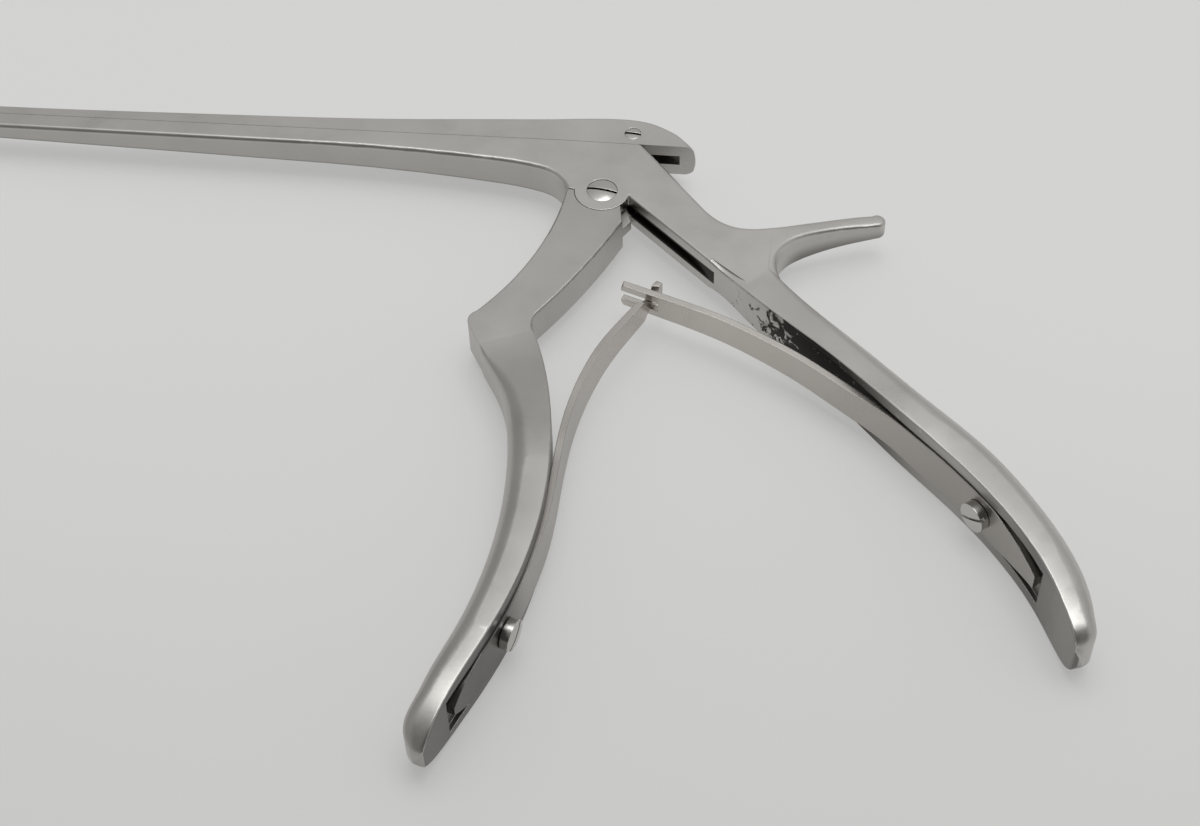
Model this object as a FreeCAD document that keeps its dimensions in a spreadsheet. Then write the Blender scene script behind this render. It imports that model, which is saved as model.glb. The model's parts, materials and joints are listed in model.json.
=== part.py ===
# Bone rongeur with a sliding shaft, lying on its side with its jaw open.
# Millimetres. While the pieces are drawn, the pivot axis is the Z axis through the origin, +X points to the
# rear handle, -X along the shaft to the jaw, +Y from the pivot to the slide, and Z = 0 is the mid plane.
# At the end all pieces move together, so that the origin is the middle of the underside.
import FreeCAD, Part
import math
import os
import Sketcher

V = FreeCAD.Vector
doc = FreeCAD.newDocument("rongeur")

# Driving dimensions, each with its own name
SIZES = [
    # forging
    ("body_thickness", 7.0),
    ("grip_thickness", 13.0),
    ("shaft_thickness", 3.4),
    ("taper_start", 8.0),        # ahead of the pivot, where the shaft starts to thin
    ("taper_end", 122.0),
    ("seam_height", 12.2),       # sliding face above the pivot
    ("tip_reach", 203.0),        # pivot to the foot of the jaw
    ("shaft_height", 2.7),       # lower shaft at the tip
    ("shaft_drop", 1.1),         # how much deeper the lower shaft is in front of the body
    ("edge_round", 0.8),         # lower edges of the shaft
    ("rim_round", 0.35),         # all other long edges of the forgings
    ("spur_thickness", 4.8),
    ("spur_round", 0.8),
    # jaw
    ("bite_drop", 1.2),          # floor of the bite below the sliding face
    ("foot_thickness", 1.2),
    ("foot_lean", 40.0),         # degrees, away from the slide
    ("jaw_gap", 0.1),            # left when the jaw is shut
    ("nose_length", 9.0),
    ("cup_wall", 0.55),
    ("cup_depth", 7.0),
    # slide
    ("slide_height", 2.1),       # above the seam at the tip
    ("slide_rise", 6.6),         # above the seam over the pivot
    ("slide_gap", 0.06),         # between the sliding faces
    ("slide_round", 0.4),
    ("hook_reach", 15.9),        # rear end of the slide behind the pivot
    ("hook_round", 2.2),
    # guide lugs of the slide in the shaft
    ("lug_length", 6.0),
    ("lug_neck", 1.0),
    ("lug_head", 2.0),
    ("lug_depth", 1.5),
    ("lug_gap", 0.1),
    ("front_lug_reach", 172.0),
    ("rear_lug_reach", 70.0),
    # motion
    ("closing_angle", 30.0),     # degrees that the front handle turns
    ("pin_height", 15.0),
    ("pin_back", 4.1),
    # pivot and tang
    ("boss_radius", 4.95),
    ("boss_gap", 0.12),
    ("stop_gap", 0.25),
    ("tang_thickness", 2.0),
    ("tang_gap", 0.1),
    ("tang_radius", 4.5),
    ("tang_reach", 17.0),
    ("tang_width", 3.8),
    ("pivot_head_radius", 2.75),
    ("pivot_head_depth", 1.7),
    ("pivot_radius", 1.9),
    ("pivot_thread_radius", 1.5),
    ("pivot_crown", 0.3),
    ("pivot_fit", 0.05),
    ("drive_head_radius", 1.5),
    ("drive_head_depth", 0.9),
    ("drive_radius", 0.9),
    ("drive_crown", 0.12),
    ("drive_fit", 0.12),
    ("seat_gap", 0.03),          # round a screw in its own piece
    ("driver_slot", 0.5),
    # springs
    ("spring_thickness", 1.2),
    ("spring_width", 8.0),
    ("spring_end_width", 4.8),
    ("fork_width", 2.2),
    ("neck_width", 1.6),
    ("channel_width", 8.4),
    ("channel_depth", 0.9),
    ("rear_channel_start", 21.5),  # reaches are measured along the inner face, from where the grip starts
    ("rear_channel_full", 33.0),
    ("rear_channel_end", 84.1),
    ("rear_seat_start", 47.6),
    ("rear_clamp_reach", 67.3),
    ("front_channel_start", 26.0),
    ("front_channel_full", 40.0),
    ("front_channel_end", 77.6),
    ("front_seat_start", 55.4),
    ("front_clamp_reach", 60.2),
    ("clamp_head_radius", 2.6),
    ("clamp_head_height", 1.5),
    ("clamp_head_gap", 0.16),    # the flat head on the curved spring
    ("clamp_radius", 1.3),
    ("clamp_length", 5.0),
]

sheet = doc.addObject("Spreadsheet::Sheet", "sizes")
for row, (name, number) in enumerate(SIZES, start=1):
    sheet.set("A%d" % row, name)
    sheet.set("B%d" % row, str(number))
    sheet.setAlias("B%d" % row, name)
doc.recompute()


def size(name):
    return float(sheet.get(name))


def cell(name):
    return "<<sizes>>." + name


sheet.Label = "sizes"

THICK = size("body_thickness")
SEAM = size("seam_height")
FLOOR = SEAM - size("bite_drop")
TOP = SEAM + size("slide_height")
REACH = size("tip_reach")
LEAN = math.tan(math.radians(size("foot_lean")))
FOOT_RUN = size("foot_thickness") / math.cos(math.radians(size("foot_lean")))

OPEN_LEAN = math.atan2(size("pin_back"), size("pin_height"))
SHUT_LEAN = math.radians(size("closing_angle")) - OPEN_LEAN
TRAVEL = size("pin_height") * (math.tan(OPEN_LEAN) + math.tan(SHUT_LEAN))

# How far the outlines run past the solid where a cut is open
PAST = 4.0


# Small helpers for outlines
def line(a, b):
    return Part.LineSegment(V(*a, 0), V(*b, 0))


def arc(a, middle, b):
    return Part.Arc(V(*a, 0), V(*middle, 0), V(*b, 0))


def curve(points, start=None, end=None):
    spline = Part.BSplineCurve()
    poles = [V(*p, 0) for p in points]
    if start and end:
        first, last = V(*start, 0).normalize(), V(*end, 0).normalize()
        spline.interpolate(Points=poles, InitialTangent=first, FinalTangent=last, Scale=False)
    else:
        spline.interpolate(Points=poles)
    return spline


def bow(a, b, turn):
    """Arc from a to b whose direction turns left by the angle, in degrees."""
    run = V(*b, 0) - V(*a, 0)
    bulge = V(run.y, -run.x, 0) * 0.5 * math.tan(math.radians(turn / 4))
    top = (V(*a, 0) + V(*b, 0)) * 0.5 + bulge
    return arc(a, (top.x, top.y), b)


def chain(points):
    return [line(a, b) for a, b in zip(points, points[1:])]


def loop(points):
    return chain(points + points[:1])


def polar(radius, degrees):
    return (radius * math.cos(math.radians(degrees)), radius * math.sin(math.radians(degrees)))


def origin_plane(body, role):
    return next(o for o in body.Origin.OriginFeatures if o.Role == role)


def new_body(name):
    body = doc.addObject("PartDesign::Body", name)
    body.Label = name
    return body


def sketch(body, name, geometry, role="XY_Plane", place=None):
    drawn = body.newObject("Sketcher::SketchObject", name)
    drawn.AttachmentSupport = [(origin_plane(body, role), "")]
    drawn.MapMode = "FlatFace"
    if place:
        drawn.AttachmentOffset = place
    drawn.addGeometry(geometry, False)
    return drawn


def circle_sketch(body, name, at, radius, height=None):
    """A circle of a sheet size, on the plane at a height given as an expression."""
    drawn = sketch(body, name, [Part.Circle(V(*at, 0), V(0, 0, 1), size(radius[0]))])
    fit = "".join(" + " + cell(extra) for extra in radius[1:])
    number = drawn.addConstraint(Sketcher.Constraint("Radius", 0, size(radius[0])))
    drawn.setExpression("Constraints[%d]" % number, cell(radius[0]) + fit)
    if height:
        drawn.setExpression(".AttachmentOffset.Base.z", height)
    return drawn


def pad(body, name, drawn, length, both=True):
    made = body.newObject("PartDesign::Pad", name)
    made.Profile = drawn
    if both:
        made.SideType = "Symmetric"
    made.setExpression("Length", length)
    doc.recompute()
    return made


def pocket(body, name, drawn, length=None, both=False, back=False):
    before = body.Shape.Volume
    made = body.newObject("PartDesign::Pocket", name)
    made.Profile = drawn
    if both:
        made.SideType = "Symmetric"
    if length:
        made.setExpression("Length", length)
    else:
        made.Type = "ThroughAll"
    made.Reversed = back
    doc.recompute()
    if body.Shape.Volume > before - 1e-4:
        raise RuntimeError(name + " cuts nothing")
    return made


def rounded(body, name, radius, chosen):
    """Fillets the edges of the tip feature that the test picks."""
    base = body.Tip
    names = ["Edge%d" % (i + 1) for i, e in enumerate(base.Shape.Edges) if chosen(e)]
    made = body.newObject("PartDesign::Fillet", name)
    made.Base = (base, names)
    made.setExpression("Radius", radius)
    doc.recompute()
    return made


def middle(edge):
    first, last = edge.ParameterRange
    return edge.valueAt((first + last) / 2)


def runs_along(edge):
    """True for the edges of the side faces that run along the outline of a plate."""
    a, b = edge.Vertexes[0].Point, edge.Vertexes[-1].Point
    return abs(a.x - b.x) > 0.5


def thin_shaft(body):
    """The shaft thins in a straight taper from the body to its parallel front part."""
    wide, thin = THICK / 2, size("shaft_thickness") / 2
    far = REACH + 20
    sides = []
    for way in (1, -1):
        sides += loop([
            (-size("taper_start"), way * wide),
            (-size("taper_end"), way * thin),
            (-far, way * thin),
            (-far, way * (wide + PAST)),
            (-size("taper_start"), way * (wide + PAST)),
        ])
    pocket(body, body.Name + "_taper", sketch(body, body.Name + "_taper_view", sides, "XZ_Plane"), both=True)


# Grips: D-shaped sections strung along the inner face of a handle.
# Each station gives the point on the inner face, the depth of the handle behind it, the share of the way from
# body thickness to grip thickness, and the radius of the two outer corners.
REAR_GRIP = [
    ((20.5, -15.63), 7.0, -0.02, 0.4),
    ((27.0, -22.0), 6.9, 0.05, 0.8),
    ((34.5, -29.2), 6.1, 0.42, 1.8),
    ((44.6, -39.0), 6.2, 0.72, 2.8),
    ((54.3, -49.2), 6.7, 0.96, 3.5),
    ((63.8, -59.0), 7.2, 1.02, 3.9),
    ((71.4, -68.4), 6.7, 1.02, 3.9),
    ((76.8, -77.6), 6.1, 0.99, 3.4),
    ((80.0, -85.6), 4.8, 0.76, 2.5),
    ((81.4, -89.4), 3.1, 0.35, 1.5),
    ((82.1, -91.3), 1.2, -0.30, 0.5),
]
FRONT_GRIP = [
    ((-8.1, -34.3), 9.6, 0.03, 0.4),
    ((-6.3, -38.8), 9.3, 0.13, 1.2),
    ((-4.1, -46.4), 7.9, 0.50, 2.4),
    ((-2.5, -54.6), 7.4, 0.86, 3.3),
    ((-1.5, -65.0), 7.2, 1.01, 3.8),
    ((-1.9, -76.5), 6.9, 1.02, 3.9),
    ((-4.1, -88.6), 6.4, 1.02, 3.8),
    ((-7.6, -99.2), 5.8, 0.99, 3.5),
    ((-11.0, -107.6), 5.2, 0.82, 2.8),
    ((-13.0, -113.2), 3.9, 0.38, 1.8),
    ((-14.3, -117.2), 1.4, -0.40, 0.6),
]
INNER_ROUND = 0.35


def face_stations(grip):
    """Point, direction along the handle and direction into it, at each station of a grip."""
    inner = curve([point for point, *_ in grip])
    found = []
    for point, *_ in grip:
        along = inner.tangent(inner.parameter(V(*point, 0)))[0].normalize()
        into = V(-along.y, along.x, 0)
        found.append((V(*point, 0), along, into))
    return found


def into_handle(grip, side):
    """The stations with the inward direction on the given side of the inner face."""
    return [(point, along, into * side) for point, along, into in face_stations(grip)]


def d_section(depth, thickness, outer, inner):
    """Eight edges: flat inner side at x = 0 and two large corners at x = depth."""
    half = thickness / 2
    outer = min(outer, half - 0.2, depth - inner - 0.2)
    c = 1 - math.sqrt(0.5)
    corners = [
        ((inner, -half), (depth - outer, -half)),
        ((depth, -half + outer), (depth, half - outer)),
        ((depth - outer, half), (inner, half)),
        ((0, half - inner), (0, -half + inner)),
    ]
    bends = [
        (depth - c * outer, -half + c * outer),
        (depth - c * outer, half - c * outer),
        (c * inner, half - c * inner),
        (c * inner, -half + c * inner),
    ]
    edges = []
    for number, (a, b) in enumerate(corners):
        after = corners[(number + 1) % 4][0]
        edges += [line(a, b), arc(b, bends[number], after)]
    return edges


def grip_loft(body, grip, side):
    """Lofts the D sections and grinds a flat on either side at the grip thickness."""
    sections = []
    for number, ((point, along, into), (_, depth, share, outer)) in enumerate(zip(into_handle(grip, side), grip)):
        thickness = THICK + share * (size("grip_thickness") - THICK)
        turn = FreeCAD.Rotation(into, V(0, 0, 1), into.cross(V(0, 0, 1)), "XYZ")
        sections.append(sketch(body, "%s_section_%d" % (body.Name, number),
                               d_section(depth, thickness, outer, INNER_ROUND),
                               place=FreeCAD.Placement(point, turn)))
    loft = body.newObject("PartDesign::AdditiveLoft", body.Name + "_grip")
    loft.Profile = sections[0]
    loft.Sections = sections[1:]
    doc.recompute()
    half = size("grip_thickness") / 2
    slabs = []
    for way in (1, -1):
        slabs += loop([(-60, way * half), (120, way * half), (120, way * (half + PAST)), (-60, way * (half + PAST))])
    pocket(body, body.Name + "_flats", sketch(body, body.Name + "_flats_view", slabs, "XZ_Plane"), both=True)


def at_reach(grip, side, reach):
    """Point, direction along the handle and direction into it, at a distance along the inner face."""
    inner = curve([point for point, *_ in grip])
    at = inner.parameterAtDistance(reach, inner.FirstParameter)
    along = inner.tangent(at)[0].normalize()
    return inner.value(at), along, V(-along.y, along.x, 0) * side


def face_steps(grip, side, start, end):
    """The inner face every few millimetres between two reaches, each step with its reach."""
    count = max(2, round((end - start) / 3.5))
    reaches = [start + (end - start) * step / count for step in range(count + 1)]
    return [(reach, *at_reach(grip, side, reach)) for reach in reaches]


def plan(point):
    return (point.x, point.y)


def cut_channel(body, grip, side, name):
    """A channel in the inner face, which gets deeper from its start until it has its full depth."""
    start, full, end = [size(name + part) for part in ("_channel_start", "_channel_full", "_channel_end")]
    floor = []
    air = []
    for reach, point, _, into in face_steps(grip, side, start, end):
        deep = size("channel_depth") * min(1.0, (reach - start) / (full - start))
        floor.append(plan(point + into * deep))
        air.append(plan(point - into * 2.0))
    outline = [
        curve(floor),
        line(floor[-1], air[-1]),
        curve(air[::-1]),
        line(air[0], floor[0]),
    ]
    pocket(body, body.Name + "_channel", sketch(body, body.Name + "_channel_view", outline),
           cell("channel_width"), both=True)


def clamp_place(grip, side, name):
    """Where a spring's screw enters: on the channel floor, pointing out of the handle."""
    point, along, into = at_reach(grip, side, size(name + "_clamp_reach"))
    out = into * -1
    turn = FreeCAD.Rotation(along, out.cross(along), out, "ZXY")
    return FreeCAD.Placement(point + into * size("channel_depth"), turn)


def cut_clamp_hole(body, grip, side, name):
    drawn = sketch(body, body.Name + "_clamp_view", [Part.Circle(V(), V(0, 0, 1), size("clamp_radius"))],
                   place=clamp_place(grip, side, name))
    number = drawn.addConstraint(Sketcher.Constraint("Radius", 0, size("clamp_radius")))
    drawn.setExpression("Constraints[%d]" % number, cell("clamp_radius") + " + " + cell("seat_gap"))
    pocket(body, body.Name + "_clamp_hole", drawn,
           "%s - %s + %s" % (cell("clamp_length"), cell("spring_thickness"), cell("stop_gap")))


REAR_SIDE = 1
FRONT_SIDE = -1


def lug_profile(grow):
    """T section of a guide lug below the seam, as (z, y) outline points; grow is its clearance."""
    neck, head = size("lug_neck") / 2 + grow, size("lug_head") / 2 + grow
    step, bottom = SEAM - size("lug_depth") / 2 + grow, SEAM - size("lug_depth") - grow
    top = SEAM + 0.5
    return [(top, -neck), (step, -neck), (step, -head), (bottom, -head),
            (bottom, head), (step, head), (step, neck), (top, neck)]


def across(x):
    return FreeCAD.Placement(V(0, 0, x), FreeCAD.Rotation())


# Frame: lower shaft with footplate, body, rear handle and thumb spur
def make_frame():
    body = new_body("frame")
    bottom = SEAM - size("shaft_height")
    deep = bottom - size("shaft_drop")
    heel = (-REACH, FLOOR)
    toe = (-REACH - LEAN * (TOP - FLOOR), TOP)
    step = -REACH + size("jaw_gap") + TRAVEL + size("nose_length")
    boss = size("boss_radius")
    root, _, root_in = into_handle(REAR_GRIP, REAR_SIDE)[0]
    inset = root + root_in * 0.8
    outline = [
        line(heel, (step, FLOOR)),
        line((step, FLOOR), (step + 2 * size("bite_drop"), SEAM)),
        line((step + 2 * size("bite_drop"), SEAM), (6.4, SEAM)),
        line((6.4, SEAM), (17.6, -1.5)),
        curve([(17.6, -1.5), (20.6, -4.7), (24.6, -6.7), (29.5, -6.6), (35.5, -4.9), (42.0, -2.5), (48.4, -0.5)],
              start=(11.2, -13.7), end=(6.0, 1.4)),
        arc((48.4, -0.5), (50.9, -1.3), (49.9, -2.9)),
        curve([(49.9, -2.9), (44.0, -4.7), (38.0, -7.2), (34.0, -10.0), (32.2, -13.6), (32.6, -17.0), (33.6, -19.2)]),
        line((33.6, -19.2), (31.0, -23.0)),
        line((31.0, -23.0), (inset.x, inset.y)),
        line((inset.x, inset.y), (root.x, root.y)),
        line((root.x, root.y), polar(boss, -11)),
        arc(polar(boss, -11), polar(boss, -95), (-boss, 0)),
        line((-boss, 0), (-6.5, 0)),
        bow((-6.5, 0), (-11.8, deep - 3.45), 54.8),
        bow((-11.8, deep - 3.45), (-19.4, deep - 2.0), 9.6),
        bow((-19.4, deep - 2.0), (-57.0, deep), 5.9),
        line((-57.0, deep), (-REACH + 2.5, bottom)),
        arc((-REACH + 2.5, bottom), (-REACH - 0.3, bottom + 0.35), (-REACH - FOOT_RUN, FLOOR)),
        line((-REACH - FOOT_RUN, FLOOR), (toe[0] - FOOT_RUN, TOP)),
        line((toe[0] - FOOT_RUN, TOP), toe),
        line(toe, heel),
    ]
    pad(body, "frame_plate", sketch(body, "frame_outline", outline), cell("body_thickness"))
    thin_shaft(body)

    # The spur thins towards its end
    sides = []
    for way in (1, -1):
        sides += loop([(31, way * THICK / 2), (52, way * size("spur_thickness") / 2), (52, way * (THICK + PAST)),
                       (31, way * (THICK + PAST))])
    pocket(body, "spur_taper", sketch(body, "spur_taper_view", sides, "XZ_Plane"), both=True)

    def under_shaft(edge):
        at = middle(edge)
        return runs_along(edge) and -REACH + 3 < at.x < -6.6 and at.y < SEAM - 1.5 and abs(at.z) > 0.8

    def on_spur(edge):
        at = middle(edge)
        return runs_along(edge) and at.x > 31.5 and at.y > -18 and abs(at.z) > 0.8

    def on_rim(edge):
        at = middle(edge)
        back = at.y > -8 and 7 < at.x < 31
        front = at.y < -2 and 7 < at.x < root.x
        return runs_along(edge) and (back or front) and abs(at.z) > 0.8

    rounded(body, "shaft_edges", cell("edge_round"), under_shaft)
    rounded(body, "spur_edges", cell("spur_round"), on_spur)
    rounded(body, "rim_edges", cell("rim_round"), on_rim)

    grip_loft(body, REAR_GRIP, REAR_SIDE)
    cut_channel(body, REAR_GRIP, REAR_SIDE, "rear")
    cut_clamp_hole(body, REAR_GRIP, REAR_SIDE, "rear")

    # Slot for the tang, open at the seam and along the front of the rear handle
    slot = [
        line((-6.4, SEAM + PAST), (5.75, SEAM + PAST)),
        line((5.75, SEAM + PAST), (5.75, 5.5)),
        line((5.75, 5.5), (8.6, 1.0)),
        arc((8.6, 1.0), (14.0, -6.6), (root.x, root.y)),
        line((root.x, root.y), (0, -15)),
        line((0, -15), (-5.2, -8)),
        line((-5.2, -8), (-5.2, 3.0)),
        line((-5.2, 3.0), (-6.4, SEAM + PAST)),
    ]
    pocket(body, "tang_slot", sketch(body, "tang_slot_view", slot),
           cell("tang_thickness") + " + 2 * " + cell("tang_gap"), both=True)

    # Bore for the pivot screw, with its counterbore in the near cheek
    face = cell("body_thickness") + " / 2"
    pocket(body, "pivot_seat", circle_sketch(body, "pivot_seat_view", (0, 0), ("pivot_head_radius", "seat_gap"), face),
           cell("pivot_head_depth"))
    pocket(body, "pivot_bore", circle_sketch(body, "pivot_bore_view", (0, 0), ("pivot_radius", "seat_gap"), face),
           cell("body_thickness") + " / 2")
    pocket(body, "pivot_thread", circle_sketch(body, "pivot_thread_view", (0, 0), ("pivot_thread_radius", "seat_gap")),
           cell("body_thickness"))

    # Guide slots for the slide's lugs, each with the wider place behind it where the lug drops in
    run = size("lug_length") + TRAVEL + 2 * size("jaw_gap")
    for place, reach in (("front", size("front_lug_reach")), ("rear", size("rear_lug_reach"))):
        rear_end = -reach + size("lug_length") + size("jaw_gap")
        drawn = sketch(body, place + "_guide_view", loop(lug_profile(size("lug_gap"))), "YZ_Plane", across(rear_end))
        pocket(body, place + "_guide", drawn, "%.6f" % run)
        wide = size("lug_head") / 2 + size("lug_gap")
        deepest = SEAM - size("lug_depth") - size("lug_gap")
        drop = loop([(deepest, -wide), (deepest, wide), (SEAM + 0.5, wide), (SEAM + 0.5, -wide)])
        drop_end = rear_end + size("lug_length") + size("lug_gap")
        drawn = sketch(body, place + "_drop_view", drop, "YZ_Plane", across(drop_end))
        pocket(body, place + "_drop", drawn, "%.6f" % (size("lug_length") + 2 * size("lug_gap")))
    return body


# Slide: upper shaft with the cutting cup in front and the hook over the body behind
def make_slide():
    body = new_body("slide")
    gap = size("slide_gap")
    low, floor = SEAM + gap, FLOOR + gap
    front = -REACH + size("jaw_gap") / math.cos(math.atan(LEAN)) + TRAVEL
    nose = -REACH + size("jaw_gap") + TRAVEL + size("nose_length") - 0.3
    rise = size("slide_rise") - size("slide_height")
    hook = size("hook_reach")
    top = [(-115.0, 0.0), (-77.0, 0.13), (-58.0, 0.22), (-39.0, 0.38), (-21.0, 0.64), (-9.7, 0.81), (1.4, 1.0),
           (5.7, 0.93), (8.2, 0.77), (10.3, 0.53), (12.6, 0.19), (14.6, -0.25)]
    crest = [(x, TOP + share * rise) for x, share in top] + [(hook, low)]
    outline = [
        line((front, floor), (nose, floor)),
        line((nose, floor), (nose + 2 * size("bite_drop"), low)),
        line((nose + 2 * size("bite_drop"), low), (hook, low)),
        curve(list(reversed(crest)), start=(-1.0, 0.8), end=(-1.0, 0.0)),
        line(crest[0], (front - LEAN * (TOP - floor), TOP)),
        line((front - LEAN * (TOP - floor), TOP), (front, floor)),
    ]
    pad(body, "slide_plate", sketch(body, "slide_outline", outline), cell("body_thickness"))
    thin_shaft(body)

    # Rear end rounded as seen from above
    bend = size("hook_round")
    corners = []
    for way in (1, -1):
        side = way * THICK / 2
        c = (1 - math.sqrt(0.5)) * bend
        corners += [
            arc((hook - bend, side), (hook - c, side - way * c), (hook, side - way * bend)),
            line((hook, side - way * bend), (hook + PAST, side - way * bend)),
            line((hook + PAST, side - way * bend), (hook + PAST, side + way * PAST)),
            line((hook + PAST, side + way * PAST), (hook - bend, side + way * PAST)),
            line((hook - bend, side + way * PAST), (hook - bend, side)),
        ]
    pocket(body, "hook_end", sketch(body, "hook_end_view", corners, "XZ_Plane"), both=True)

    def on_crest(edge):
        at = middle(edge)
        return runs_along(edge) and at.y > TOP - 0.3 and abs(at.z) > 0.8 and front < at.x < 10

    rounded(body, "slide_edges", cell("slide_round"), on_crest)

    # Pocket for the tang, open below
    hollow = loop([(-1.3, SEAM - 1), (-1.3, SEAM + 3.0), (1.0, SEAM + 5.1), (6.9, SEAM + 5.0), (10.4, SEAM + 2.6),
                   (13.0, SEAM + 1.2), (13.0, SEAM - 1)])
    pocket(body, "tang_pocket", sketch(body, "tang_pocket_view", hollow),
           cell("tang_thickness") + " + 2 * " + cell("tang_gap"), both=True)

    # Bore for the drive screw
    at = (size("pin_back"), size("pin_height"))
    face = cell("body_thickness") + " / 2"
    pocket(body, "drive_seat", circle_sketch(body, "drive_seat_view", at, ("drive_head_radius", "seat_gap"), face),
           cell("drive_head_depth"))
    pocket(body, "drive_bore", circle_sketch(body, "drive_bore_view", at, ("drive_radius", "seat_gap"), face),
           cell("body_thickness") + " - 0.6")

    # Cutting cup, hollowed from the front
    wall = size("cup_wall")
    half = size("shaft_thickness") / 2 - wall
    c = (1 - math.sqrt(0.5)) * half
    mouth = [
        line((floor + wall, -half), (TOP - wall - half, -half)),
        arc((TOP - wall - half, -half), (TOP - wall, 0), (TOP - wall - half, half)),
        line((TOP - wall - half, half), (floor + wall, half)),
        line((floor + wall, half), (floor + wall, -half)),
    ]
    drawn = sketch(body, "cup_view", mouth, "YZ_Plane", across(front + size("cup_depth")))
    pocket(body, "cup", drawn, "%.6f" % (size("cup_depth") + PAST + LEAN * (TOP - floor)))

    # Guide lugs
    for place, reach in (("front", size("front_lug_reach")), ("rear", size("rear_lug_reach"))):
        drawn = sketch(body, place + "_lug_view", loop(lug_profile(0)), "YZ_Plane", across(-reach))
        pad(body, place + "_lug", drawn, cell("lug_length"), both=False)
    return body


# Front handle: shoulders round the boss, tang through the body, and grip
def make_front_handle():
    body = new_body("front_handle")
    ring = size("boss_radius") + size("boss_gap")
    stop = -size("stop_gap")
    root, along, into = into_handle(FRONT_GRIP, FRONT_SIDE)[0]
    heel = root + into * FRONT_GRIP[0][1]
    tuck = [root + along + into * 0.3, heel + along - into * 0.3]
    left = (-math.sqrt(ring ** 2 - stop ** 2), stop)
    outline = [
        arc(left, polar(ring, -110), polar(ring, -43)),
        line(polar(ring, -43), (4.4, -7.3)),
        arc((4.4, -7.3), (-1.25, -19.17), (-8.1, -30.4)),
        arc((-8.1, -30.4), (-8.6, -32.1), (root.x, root.y)),
        line((root.x, root.y), (tuck[0].x, tuck[0].y)),
        line((tuck[0].x, tuck[0].y), (tuck[1].x, tuck[1].y)),
        line((tuck[1].x, tuck[1].y), (heel.x, heel.y)),
        line((heel.x, heel.y), (-19.3, -34.0)),
        arc((-19.3, -34.0), (-19.6, -32.4), (-18.9, -31.1)),
        arc((-18.9, -31.1), (-10.4, -16.9), (-6.4, stop)),
        line((-6.4, stop), left),
    ]
    pad(body, "handle_plate", sketch(body, "handle_outline", outline), cell("body_thickness"))

    def on_rim(edge):
        at = middle(edge)
        clear = math.hypot(at.x, at.y) > ring + 1.5
        return runs_along(edge) and clear and at.y > -31 and abs(at.z) > 0.8

    rounded(body, "handle_edges", cell("rim_round"), on_rim)
    grip_loft(body, FRONT_GRIP, FRONT_SIDE)
    cut_channel(body, FRONT_GRIP, FRONT_SIDE, "front")
    cut_clamp_hole(body, FRONT_GRIP, FRONT_SIDE, "front")

    # Tang: a disc round the pivot and an arm up to the drive screw, joined to the shoulders
    disc, half = size("tang_radius"), size("tang_width") / 2
    lean = 90 - math.degrees(OPEN_LEAN)
    tip = polar(size("tang_reach"), lean)
    aside = polar(half, lean - 90)
    tip_right = (tip[0] + aside[0], tip[1] + aside[1])
    tip_left = (tip[0] - aside[0], tip[1] - aside[1])
    tang = [
        line((-disc, -7.5), (-disc, 0)),
        arc((-disc, 0), polar(disc, 155), polar(disc, 130)),
        line(polar(disc, 130), tip_left),
        line(tip_left, tip_right),
        line(tip_right, polar(disc, 35)),
        arc(polar(disc, 35), polar(disc, 0), polar(disc, -15)),
        line(polar(disc, -15), (5.7, -4.9)),
        line((5.7, -4.9), (3.6, -8.2)),
        line((3.6, -8.2), (-disc, -7.5)),
    ]
    pad(body, "tang", sketch(body, "tang_view", tang), cell("tang_thickness"))
    pocket(body, "tang_bore", circle_sketch(body, "tang_bore_view", (0, 0), ("pivot_radius", "pivot_fit")), both=True)

    # Fork in the arm, in which the drive screw runs
    wide = size("drive_radius") + size("drive_fit")
    low = size("pin_height") - size("drive_fit")
    end = size("tang_reach") + PAST
    along = lambda r, s: (polar(r, lean)[0] + polar(s, lean - 90)[0], polar(r, lean)[1] + polar(s, lean - 90)[1])
    fork = [
        line(along(low, -wide), along(end, -wide)),
        line(along(end, -wide), along(end, wide)),
        line(along(end, wide), along(low, wide)),
        arc(along(low, wide), along(low - wide, 0), along(low, -wide)),
    ]
    pocket(body, "tang_fork", sketch(body, "tang_fork_view", fork), both=True)
    return body


# Leaf springs: a strip drawn in side view, then trimmed to its outline as seen along the handles
def strip(body, back, thickness, side):
    """Pads the strip whose back runs through the points; its front is offset by the thickness."""
    spine = curve([(p.x, p.y) for p in back])
    front = []
    for p in back:
        along = spine.tangent(spine.parameter(p))[0].normalize()
        front.append(p - V(-along.y, along.x, 0) * side * thickness)
    outline = [
        curve([plan(p) for p in back]),
        line(plan(back[-1]), plan(front[-1])),
        curve([plan(p) for p in reversed(front)]),
        line(plan(front[0]), plan(back[0])),
    ]
    pad(body, body.Name + "_strip", sketch(body, body.Name + "_side", outline), cell("spring_width"))


def mirrored_outline(half_outline):
    """Closed outline from the points of its upper half, in order along the first axis."""
    lower = [(a, -b) for a, b in reversed(half_outline)]
    return loop(half_outline + lower)


def seated_back(grip, side, name):
    """Back of a spring where it lies in its channel, up to just before the channel ends."""
    deep = size("channel_depth") - size("seat_gap")
    steps = face_steps(grip, side, size(name + "_seat_start"), size(name + "_channel_end") - 1.5)
    return [point + into * deep for _, point, _, into in steps]


# Free part of each spring's back, from the fork or head to where it lies down in its channel
REAR_FREE = [(6.0, -20.6), (11.0, -22.4), (17.0, -24.6), (24.0, -27.5), (31.0, -31.2), (38.5, -35.9), (45.6, -41.2)]
FRONT_FREE = [(11.7, -20.0), (10.4, -22.3), (7.9, -26.9), (3.9, -34.6), (1.0, -43.0), (-0.8, -52.5), (-1.4, -62.0),
              (-2.0, -74.0)]


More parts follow.
